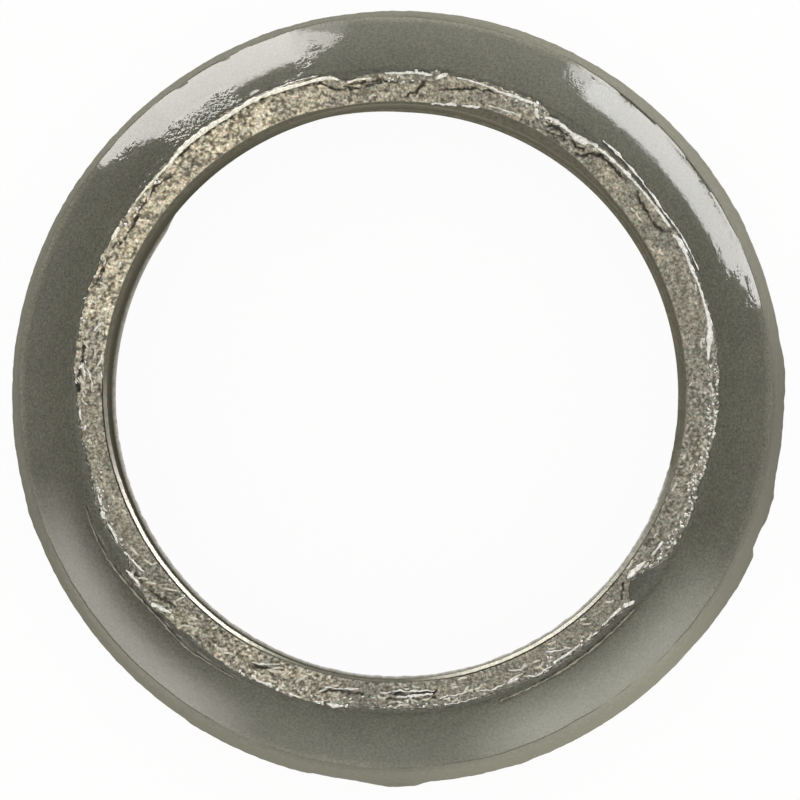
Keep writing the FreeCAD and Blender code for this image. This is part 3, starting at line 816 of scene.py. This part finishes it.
class Tree:
    """The nodes of a material or of the world, with short ways to add more."""

    def __init__(self, owner):
        owner.use_nodes = True
        self.owner = owner
        self.nodes = owner.node_tree.nodes
        self.links = owner.node_tree.links

    def feed(self, socket, value):
        """Links another socket to this one, or sets a plain value; a colour has three numbers."""
        if isinstance(value, bpy.types.NodeSocket):
            self.links.new(value, socket)
        elif socket.type == "RGBA":
            socket.default_value = (*value, 1.0)
        else:
            socket.default_value = value

    def add(self, kind, inputs=None, **settings):
        """A new node with its settings and inputs, which are found by name or number."""
        node = self.nodes.new(f"ShaderNode{kind}")
        for name, value in settings.items():
            setattr(node, name, value)
        for key, value in (inputs or {}).items():
            self.feed(node.inputs[key], value)
        return node

    def shade(self, inputs):
        """Sets the inputs of the main shader, and returns the material."""
        shader = self.nodes["Principled BSDF"]
        for name, value in inputs.items():
            self.feed(shader.inputs[name], value)
        return self.owner

    def calculate(self, kind, *values):
        """The result of a calculation of this kind."""
        return self.add("Math", dict(enumerate(values)), operation=kind).outputs[0]

    def noise(self, scale, detail=2.0, roughness=0.5):
        """Noise in the object's own space, with this many lumps to the metre."""
        place = self.add("TexCoord").outputs["Object"]
        inputs = {"Scale": scale, "Detail": detail, "Roughness": roughness, "Vector": place}
        return self.add("TexNoise", inputs).outputs["Fac"]

    def ramp(self, value, stops):
        """Colours by value: a list of place and colour."""
        node = self.add("ValToRGB", {"Fac": value})
        elements = node.color_ramp.elements
        while len(elements) < len(stops):
            elements.new(0.5)
        for element, (place, colour) in zip(elements, stops):
            element.position = place
            element.color = (*colour, 1.0)
        return node.outputs["Color"]

    def mix(self, factor, first, second, blend="MIX"):
        """Mixes two colours. The node has sockets for each kind of data: 6, 7 and 2 are for colours."""
        node = self.add("Mix", data_type="RGBA", blend_type=blend)
        for number, value in ((0, factor), (6, first), (7, second)):
            self.feed(node.inputs[number], value)
        return node.outputs[2]

    def spread(self, value, low, high, new_low=0.0, new_high=1.0, kind="LINEAR"):
        """The value stretched from one range to another, and held inside it."""
        inputs = {"Value": value, "From Min": low, "From Max": high, "To Min": new_low, "To Max": new_high}
        return self.add("MapRange", inputs, interpolation_type=kind).outputs["Result"]

    def bump(self, height, distance, under=None):
        """A bump of this height in metres, over another one."""
        inputs = {"Distance": distance, "Height": height}
        if under:
            inputs["Normal"] = under
        return self.add("Bump", inputs).outputs["Normal"]

    def attribute(self, name):
        """A value stored in the mesh."""
        return self.add("Attribute", attribute_name=name).outputs["Fac"]


def new_tree(name):
    """The nodes of a new material."""
    return Tree(bpy.data.materials.new(name))


def skin_material():
    """Burnished graphite and steel: dark olive grey with a gloss, crumpled where the mesh says so. Painted
    shade darkens it where the relief sinks, and painted light brightens the seat's outer edge.
    """
    tree = new_tree("burnished_skin")
    tone = tree.ramp(tree.noise(260, 3.0), [(0.3, (0.060, 0.0592, 0.0435)), (0.7, (0.073, 0.072, 0.0535))])
    specks = tree.ramp(tree.noise(4300, 2.0, 0.7), [
        (0.3, (0.6, 0.57, 0.58)), (0.5, (1, 1, 1)), (0.7, (1.4, 1.43, 1.42)),
    ])
    relief = tree.attribute("relief")
    # Painted shade where the relief sinks: in the fold grooves, at the lip, in crumples and on the crest.
    # Painted light at the seat's outer edge, for the reflection it lacks there.
    painted_shade = tree.spread(relief, -0.04, -0.01, 0.15, 1.0)
    edge_light = tree.spread(relief, EDGE_LIGHT_START, EDGE_LIGHT_START + 0.1, 1.0, 2.4)
    wear_and_painted_light = tree.calculate("MULTIPLY", painted_shade, edge_light)
    soft = tree.bump(tree.noise(900, 2.5, 0.6), 0.000006)
    grain = tree.bump(tree.noise(4200), 0.0000006, under=soft)
    dents = tree.calculate("MULTIPLY", tree.noise(2900, 1.0), tree.attribute("tint"))
    return tree.shade({
        "Base Color": tree.mix(1.0, tree.mix(1.0, tone, specks, "MULTIPLY"), wear_and_painted_light, "MULTIPLY"),
        "Roughness": 0.055,
        "IOR": 1.5,
        "Normal": tree.bump(dents, 0.00007, under=grain),
    })


def base_material():
    """Unpolished graphite and steel."""
    tree = new_tree("plain_base")
    tone = tree.ramp(tree.noise(700, 4.0, 0.7), [(0.3, (0.10, 0.096, 0.078)), (0.7, (0.19, 0.18, 0.15))])
    return tree.shade({
        "Base Color": tone,
        "Roughness": 0.55,
        "Specular IOR Level": 0.3,
        "Normal": tree.bump(tree.noise(3000, 3.0), 0.00002),
    })


def face_material():
    """Dull graphite and steel, coloured by the relief: the crevices and cracks go near black, partly dark
    graphite and partly painted shade, the tops go pale, partly scraped metal and partly painted highlight,
    and a faint warm and cool speckle.
    """
    tree = new_tree("rough_face")
    # Colour by relief: painted shade in the crevices and cracks, painted highlight on the tops.
    height = tree.spread(tree.attribute("relief"), -0.08, 0.06)
    dull = tree.ramp(height, [
        (0.0, (0.035, 0.033, 0.026)), (0.32, (0.10, 0.097, 0.080)), (0.56, (0.18, 0.177, 0.152)),
        (0.75, (0.24, 0.236, 0.206)), (1.0, (0.50, 0.49, 0.44)),
    ])
    pale = tree.ramp(height, [
        (0.0, (0.04, 0.036, 0.027)), (0.32, (0.15, 0.137, 0.105)), (0.56, (0.38, 0.342, 0.258)),
        (0.75, (0.56, 0.51, 0.40)), (1.0, (0.84, 0.80, 0.70)),
    ])
    specks = tree.ramp(tree.noise(4400, 2.0, 0.7), [
        (0.3, (0.42, 0.42, 0.41)), (0.5, (1, 1, 1)), (0.7, (1.65, 1.64, 1.62)),
    ])
    warmth = tree.ramp(tree.noise(4000, 1.0), [
        (0.34, (0.95, 1.03, 0.99)), (0.5, (1, 1, 1)), (0.7, (1.14, 0.97, 0.9)),
    ])
    mottled = tree.mix(1.0, tree.mix(tree.attribute("tint"), dull, pale), specks, "MULTIPLY")
    return tree.shade({
        "Base Color": tree.mix(1.0, mottled, warmth, "MULTIPLY"),
        "Metallic": 0.6,
        "Roughness": 0.34,
        "Normal": tree.bump(tree.noise(4200, 3.0, 0.65), 0.00013),
    })


def bright_material(name, colour, roughness, metallic):
    """Bare bright steel, slightly scuffed."""
    tree = new_tree(name)
    dark = tuple(0.6 * c for c in colour)
    return tree.shade({
        "Base Color": tree.ramp(tree.noise(4000, 3.0, 0.7), [(0.35, dark), (0.6, colour)]),
        "Metallic": metallic,
        "Roughness": roughness,
        "Normal": tree.bump(tree.noise(4000), 0.00002),
    })


def matte_material(name, dull, wear_and_painted_light, roughness, shine=0, scuff=0.25):
    """Unpolished metal that goes from its first colour to its second where the mesh's tint says so; on this
    ring the tint carries painted light and painted highlight as well as wear.
    """
    tree = new_tree(name)
    share = tree.attribute("tint")
    scuffs = tree.spread(tree.noise(2500, 3.0, 0.7), 0.3, 0.7, 1 - scuff, 1 + scuff)
    colour = tree.mix(1.0, tree.mix(share, dull, wear_and_painted_light), scuffs, "MULTIPLY")
    if shine:
        tree.shade({"Metallic": tree.spread(share, 0, 1, 0, shine)})
    return tree.shade({"Base Color": colour, "Roughness": roughness, "Specular IOR Level": 0.0})


def make_materials():
    """One material for each finish."""
    return {
        "skin": skin_material(),
        # The flank's paler colour round the ring is painted light.
        "flank": matte_material("die_marked_flank", (0.05, 0.0492, 0.041), (0.45, 0.443, 0.37), 0.5, 0, 0.12),
        "base": base_material(),
        # The wall's paler colour on one side is painted light, where it lies in shade.
        "wall": matte_material("bore_wall", (0.09, 0.084, 0.062), (0.20, 0.192, 0.15), 0.6),
        # The pressed edge's pale, metallic colour on the lower side is partly a painted highlight.
        "bevel": matte_material("pressed_edge", (0.11, 0.105, 0.082), (0.39, 0.38, 0.335), 0.3, 0.6),
        # The burr's first colour, near white, is a painted reflection.
        "burr": matte_material("bore_burr", (0.95, 0.94, 0.91), (0.24, 0.23, 0.18), 0.45),
        "rim": bright_material("rim_of_skin", (0.76, 0.76, 0.73), 0.3, 0.85),
        "cream": bright_material("warm_rim_of_skin", (0.88, 0.85, 0.76), 0.4, 0.6),
        "fold": bright_material("worn_fold", (0.30, 0.28, 0.225), 0.4, 0.5),
        "wire": bright_material("bare_wire", (0.60, 0.57, 0.49), 0.4, 0.6),
        "face": face_material(),
    }


# Pieces

def put(name, data):
    """A new object in the scene."""
    thing = bpy.data.objects.new(name, data)
    bpy.context.scene.collection.objects.link(thing)
    return thing


def write_mesh(name, points, polygons, materials, slots=None, values=None):
    """A mesh piece at the origin, smooth shaded, that rides on the ring's body."""
    mesh = bpy.data.meshes.new(name)
    mesh.from_pydata((points * MM).tolist(), [], polygons)
    for material in materials:
        mesh.materials.append(material)
    if slots is not None:
        mesh.polygons.foreach_set("material_index", slots)
    for key, numbers in (values or {}).items():
        mesh.attributes.new(key, "FLOAT", "POINT").data.foreach_set("value", numbers.astype(np.float32))
    mesh.polygons.foreach_set("use_smooth", [True] * len(mesh.polygons))
    mesh.update()
    piece = put(name, mesh)
    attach(piece, BODY)
    return piece


def make_ring(finishes):
    """The whole gasket, from the lead-in of the bore, up and over to the base."""
    skin = Skin()
    for add_stretch in (add_bore, add_face, add_seat, add_flank, add_base):
        add_stretch(skin)
    polygons, names = skin.faces()
    order = list(finishes)
    slots = [order.index(n) for n in names]
    values = {"relief": np.concatenate(skin.reliefs), "tint": np.concatenate(skin.tints)}
    points = np.concatenate(skin.rings)
    ring = write_mesh("pressed_ring", points, polygons, list(finishes.values()), slots, values)
    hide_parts(NODE)


def make_tube(path, widths, flatness=2.6, sides=8):
    """Points and quads of a closed flattened tube along a path; widths are full widths."""
    along = np.gradient(path, axis=0)
    along /= np.linalg.norm(along, axis=1)[:, None]
    across = np.cross([0.0, 0.0, 1.0], along)
    across /= np.linalg.norm(across, axis=1)[:, None]
    upward = np.cross(along, across)
    turn = np.arange(sides) * 2 * math.pi / sides
    offset = (
        np.cos(turn)[None, :, None] * across[:, None, :] * widths[:, None, None] / 2
        + np.sin(turn)[None, :, None] * upward[:, None, :] * widths[:, None, None] / (2 * flatness)
    )
    points = (path[:, None, :] + offset).reshape(-1, 3)
    here = np.arange(sides)
    there = (here + 1) % sides
    quads = []
    for low in range(0, (len(path) - 1) * sides, sides):
        high = low + sides
        quads.extend(np.stack([low + here, low + there, high + there, high + here], 1).tolist())
    quads.append(list(reversed(range(sides))))
    quads.append([(len(path) - 1) * sides + i for i in range(sides)])
    return points, quads


def join_tubes(name, tubes, material):
    """One piece from many tubes."""
    points = []
    polygons = []
    start = 0
    for tube_points, tube_quads in tubes:
        points.append(tube_points)
        polygons.extend([[start + i for i in quad] for quad in tube_quads])
        start += len(tube_points)
    write_mesh(name, np.concatenate(points), polygons, [material])


def follow(points, step=0.09):
    """Azimuths, radii and widths close together along a line through the points, with its corners eased."""
    places = np.array(points)
    scale = math.radians(1) * places[:, 1].mean()
    gaps = np.hypot(np.diff(places[:, 0]) * scale, np.diff(places[:, 1]))
    along = np.concatenate([[0], np.cumsum(gaps)])
    dense = np.linspace(0, along[-1], max(5, int(along[-1] / step)))
    ease = min(0.3, 0.4 * gaps.min())
    shifts = np.linspace(-ease, ease, 5)
    eased = []
    for column in places.T:
        eased.append(np.mean([np.interp(dense + shift, along, column) for shift in shifts], axis=0))
    return eased


def surface_height(azimuth, radius):
    """Height of the skin, or of the rough face inside the skin's edge."""
    inside = smooth_step(skin_edge(azimuth) - radius, -0.05, 0.05)
    return seat_height(radius) * (1 - inside) + (FACE_LEVEL + 0.6 * face_height(azimuth, radius)) * inside


def make_bands(name, material, lines, lift, flatness, raggedness, wiggle=0.012):
    """One piece from flattened tubes along the lines; each ends in a point and has a ragged outline."""
    tubes = []
    for number, line in enumerate(lines):
        azimuth, radius, width = follow(line)
        path = PATH_SEAT + 1.5 + number * 0.7
        width = width * (1 + raggedness * sample(ragged, azimuth, path))
        count = np.arange(len(azimuth))
        ends = np.clip(np.minimum(count + 0.3, len(azimuth) - 0.7 - count) / 2.5, 0.12, 1)
        width = np.clip(width, 0.05, 0.8) * ends
        radius = radius + 0.04 * raggedness * sample(fine_grain, azimuth, path)
        radius = radius + wiggle * sample(coarse_grain, azimuth, path)
        height = surface_height(azimuth, radius) + lift + 0.024 * raggedness * sample(crumple, azimuth, path)
        height = np.minimum(height, HEIGHT + 0.02 - width / (2 * flatness))
        tubes.append(make_tube(on_ring(azimuth, radius, height), width, flatness))
    join_tubes(name, tubes, material)


def make_roll(finishes):
    """The rolled edge of the skin, worn bright, in broken lengths and scattered flakes."""
    flakes = []
    for start, end, count in FLAKE_STRETCHES:
        for _ in range(count):
            azimuth = rng.uniform(start, end)
            edge = float(skin_edge(np.array([azimuth]))[0])
            inward = 0.1 + 0.9 * rng.uniform() ** 1.6
            lean = rng.uniform(-0.8, 0.8)
            size = rng.uniform(0.16, 0.42)
            width = rng.uniform(0.16, 0.3)
            turn = size / 2 / (math.radians(1) * edge)
            flakes.append([(azimuth - turn, edge - inward - lean * size / 2, width),
                           (azimuth + turn, edge - inward + lean * size / 2, width)])
    warm = [line for line in ROLLS if WARM_ROLLS[0] < line[0][0] < WARM_ROLLS[1]]
    cold = [line for line in ROLLS if line not in warm]
    make_bands("loose_flakes", finishes["rim"], flakes, 0.04, 2.0, 0.5)
    make_bands("rolled_edge", finishes["rim"], cold, 0.02, 2.4, 0.25)
    make_bands("warm_rolled_edge", finishes["cream"], warm, 0.05, 2.0, 0.16)


def make_folds(finishes):
    """Fine raised folds on the seat, worn bright on one side of the ring."""
    bright = [FOLDS[number] for number in BRIGHT_FOLDS]
    dull = [points for points in FOLDS if points not in bright]
    make_bands("bright_folds", finishes["rim"], bright, 0.0, 2.2, 0.4)
    make_bands("dull_folds", finishes["fold"], dull, -0.01, 2.2, 0.4)


def make_bare_wires(finishes):
    """The wires that stand out of the face."""
    slim = [[(a, r, WIRE_SLIMNESS * width) for a, r, width in line] for line in BARE_WIRES]
    make_bands("bare_wires", finishes["rim"], slim, 0.02, 2.0, 0.3, 0.045)


def strand_density(azimuth):
    """How thickly flattened wires show in the face."""
    return 0.03 + 0.1 * around(WIRE_SHARES, azimuth) + 0.15 * band(azimuth, 168, 180, 4)


def make_strands(material, tries=2600):
    """Lengths of knitted wire, flattened into the rough face."""
    tubes = []
    for _ in range(tries):
        middle = rng.uniform(0, 360)
        keep = rng.uniform()
        place = rng.uniform(0.02, 0.98)
        lean = rng.normal(0, 0.28)
        bow = rng.normal(0, 0.6)
        length = rng.uniform(0.45, 1.2)
        width = rng.uniform(0.16, 0.27)
        lift = rng.uniform(-0.05, 0.03)
        if keep > strand_density(middle):
            continue
        inner = float(face_start(middle)) + 0.15
        outer = float(skin_edge(np.array([middle]))[0]) - 0.1
        s = np.linspace(-0.5, 0.5, 8)
        heading = around(STRAND_SLANTS, middle) + lean
        radius = inner + (outer - inner) * place + length * (heading * s + bow * (s * s - 0.08))
        azimuth = middle + np.degrees(length * s * math.sqrt(max(0.2, 1 - heading**2)) / radius)
        limit = skin_edge(azimuth) - 0.04
        radius = np.clip(radius, inner, np.maximum(limit, inner + 0.01))
        hump = 1 - (2 * s) ** 4
        height = FACE_LEVEL + face_height(azimuth, radius) * 0.5 + lift + 0.07 * (hump - 0.75)
        tubes.append(make_tube(on_ring(azimuth, radius, height), width * (0.45 + 0.55 * hump)))
    join_tubes("wire_strands", tubes, material)


# Floor, light and camera. Lengths here are in metres.

FLOOR_REACH = 4.0
FLOOR_GAP = 0.0001
FLOOR_GLOW = 0.95

# The dome: its colour, and its levels below and above the heights between which it brightens
DOME_COLOUR = (1.0, 0.985, 0.94)
DOME_RISE = (0.5, 0.8)
DOME_LEVELS = (0.6, 1.25)

# Soft patches of light in the dome: azimuth, half width, elevation, half height, level, colour
GLOWS = [
    (220, 29, 5.5, 10, 4.4, (1.0, 0.955, 0.88)),
    (307, 30, 7, 15, 4.3, (0.99, 1.0, 0.87)),
    (80, 60, 5, 27, 1.1, (1.0, 1.0, 0.87)),
    (264, 45, 7, 19, 1.25, (1.0, 1.0, 0.87)),
    (0, 360, 3, 12, 0.4, (1.0, 0.98, 0.9)),
]

# The colours of the lamps, the distances of their tapering ends, and the left end's foot: edge and share
WHITE = (1.0, 1.0, 1.0)
WARM = (1.0, 0.98, 0.93)
RIGHT_DISTANCE = 0.91
LEFT_DISTANCE = 0.93
FOOT_LOW = 0.004
FOOT_SHARE = 0.25

# The tapering ends of the lamps: first and last azimuth, lower and upper edge, and level of each length
RIGHT_TIP = [
    (60.0, 58.0, 0.030, 0.164, 7.5), (61.5, 60.0, 0.042, 0.152, 6.9), (63.0, 61.5, 0.062, 0.132, 6.2),
]
LEFT_TIP = [
    (107.0, 105.5, 0.035, 0.178, 8.6), (105.5, 104.0, 0.055, 0.172, 8.2), (104.0, 102.5, 0.068, 0.163, 7.6),
    (102.5, 101.0, 0.078, 0.151, 6.8), (101.0, 99.5, 0.086, 0.138, 5.8), (99.5, 98.0, 0.094, 0.122, 4.6),
]

# The camera: distance, tilt from straight above and towards which azimuth, aim and focal length in mm
CAMERA_DISTANCE = 0.985
CAMERA_TILT = 1.35
CAMERA_TOWARDS = -51
CAMERA_AIM = (0.273 * MM, -0.518 * MM, 0)
CAMERA_LENS = 487.7


def make_floor():
    """A plain pale floor that reads as white and keeps a faint shadow."""
    mesh = bpy.data.meshes.new("floor")
    corners = [(x * FLOOR_REACH, y * FLOOR_REACH, 0) for x, y in ((-1, -1), (1, -1), (1, 1), (-1, 1))]
    mesh.from_pydata(corners, [], [(0, 1, 2, 3)])
    floor = put("floor", mesh)
    floor.location.z = cad_low[2] - FLOOR_GAP
    tree = new_tree("pale_floor")
    pale = tree.shade({"Base Color": (0.8, 0.8, 0.8), "Roughness": 0.9, "Specular IOR Level": 0.0})
    mesh.materials.append(pale)
    rays = tree.add("LightPath").outputs
    direct = tree.calculate("MAXIMUM", rays["Is Camera Ray"], rays["Is Glossy Ray"])
    seen = tree.calculate("MAXIMUM", direct, rays["Is Transmission Ray"])
    share = tree.calculate("MULTIPLY", seen, FLOOR_GLOW)
    glow = tree.add("Emission", {"Strength": 1.0})
    matte = tree.nodes["Principled BSDF"].outputs[0]
    blend = tree.add("MixShader", {"Fac": share, 1: matte, 2: glow.outputs[0]})
    tree.links.new(blend.outputs[0], tree.nodes["Material Output"].inputs["Surface"])


def glow_level(tree, axes, azimuth, half_width, elevation, half_height, level):
    """The level of a soft patch of light in the dome; axes holds the ray's x, y and z."""
    turn = math.radians(azimuth)
    x, y, z = axes
    wide = 1.0
    if half_width < 180:
        flat = tree.calculate("SQRT", tree.calculate("SUBTRACT", 1.0, tree.calculate("MULTIPLY", z, z)))
        east = tree.calculate("MULTIPLY", x, math.cos(turn))
        ahead = tree.calculate("ADD", east, tree.calculate("MULTIPLY", y, math.sin(turn)))
        facing = tree.calculate("DIVIDE", ahead, flat)
        wide = tree.spread(facing, math.cos(math.radians(half_width)), 1.0, kind="SMOOTHSTEP")
    away = tree.calculate("ABSOLUTE", tree.calculate("SUBTRACT", z, math.sin(math.radians(elevation))))
    tall = tree.spread(away, math.sin(math.radians(half_height)), 0.0, kind="SMOOTHSTEP")
    return tree.calculate("MULTIPLY", tree.calculate("MULTIPLY", wide, tall), level)


def make_world():
    """A soft dome, brighter overhead, with soft patches of light low down."""
    world = bpy.data.worlds.new("studio")
    bpy.context.scene.world = world
    tree = Tree(world)
    split = tree.add("SeparateXYZ", {0: tree.add("TexCoord").outputs["Generated"]})
    axes = [split.outputs[axis] for axis in "XYZ"]
    background = tree.nodes["Background"]
    tree.feed(background.inputs["Color"], DOME_COLOUR)
    tree.feed(background.inputs["Strength"], tree.spread(axes[2], *DOME_RISE, *DOME_LEVELS))
    total = background.outputs[0]
    for *place, colour in GLOWS:
        light = tree.add("Background", {"Color": colour, "Strength": glow_level(tree, axes, *place)})
        total = tree.add("AddShader", {0: total, 1: light.outputs[0]}).outputs[0]
    tree.links.new(total, tree.nodes["World Output"].inputs["Surface"])


def strip_lamp(name, near, far, low, high, radiance, colour):
    """A long upright area lamp between two places (azimuth, distance)."""
    ends = [Vector((d * math.cos(math.radians(a)), d * math.sin(math.radians(a)), 0)) for a, d in (near, far)]
    along = (ends[1] - ends[0]).normalized()
    middle = (ends[0] + ends[1]) / 2
    upward = Vector((0, 0, 1))
    back = along.cross(upward)
    if back.dot(middle) < 0:
        along = -along
        back = -back
    lamp = bpy.data.lights.new(name, "AREA")
    lamp.shape = "RECTANGLE"
    lamp.size = (ends[1] - ends[0]).length
    lamp.size_y = high - low
    lamp.energy = radiance * math.pi * lamp.size * lamp.size_y
    lamp.color = colour
    holder = put(name, lamp)
    holder.visible_camera = False
    turn = Matrix((along, upward, back)).transposed().to_4x4()
    holder.matrix_world = Matrix.Translation(middle + upward * (low + high) / 2) @ turn


def make_lights():
    """A low strip lamp on each side, in lengths that taper off."""
    strip_lamp("lamp_right", (58.0, 0.9), (23.0, 0.92), 0.062, 0.170, 9.9, WHITE)
    strip_lamp("lamp_right_low", (58.0, 0.9), (23.0, 0.92), 0.010, 0.062, 7.5, WHITE)
    for number, (first, last, *shape) in enumerate(RIGHT_TIP):
        strip_lamp(f"lamp_right_tip_{number}", (first, RIGHT_DISTANCE), (last, RIGHT_DISTANCE), *shape, WHITE)
    strip_lamp("lamp_right_end", (23.0, 0.92), (14.5, 1.9), 0.010, 0.170, 10.0, WHITE)
    strip_lamp("lamp_left", (107.0, 0.93), (130.0, 0.9), 0.002, 0.180, 10.0, WARM)
    strip_lamp("lamp_left_end", (130.0, 0.9), (142.0, 2.6), 0.002, 0.180, 9.5, WARM)
    for number, (first, last, low, high, level) in enumerate(LEFT_TIP):
        ends = ((first, LEFT_DISTANCE), (last, LEFT_DISTANCE))
        strip_lamp(f"lamp_left_tip_{number}", *ends, low, high, level, WARM)
        strip_lamp(f"lamp_left_foot_{number}", *ends, FOOT_LOW, low, FOOT_SHARE * level, WARM)


def make_camera():
    """Nearly straight above, as the photograph was taken."""
    tilt = math.radians(CAMERA_TILT)
    towards = math.radians(CAMERA_TOWARDS)
    back = Vector((math.sin(tilt) * math.cos(towards), math.sin(tilt) * math.sin(towards), math.cos(tilt)))
    right = Vector((0, 1, 0)).cross(back).normalized()
    up = back.cross(right)
    data = bpy.data.cameras.new("camera")
    data.lens = CAMERA_LENS
    data.sensor_width = 36
    data.clip_start = 0.01
    camera = put("camera", data)
    turn = Matrix((right, up, back)).transposed().to_4x4()
    camera.matrix_world = Matrix.Translation(Vector(CAMERA_AIM) + back * CAMERA_DISTANCE) @ turn
    bpy.context.scene.camera = camera


def main():
    make_floor()
    make_world()
    make_lights()
    make_camera()
    bpy.context.scene.view_settings.view_transform = "Standard"
    finishes = make_materials()
    make_ring(finishes)
    make_roll(finishes)
    make_folds(finishes)
    make_bare_wires(finishes)
    make_strands(finishes["wire"])
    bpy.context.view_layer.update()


main()
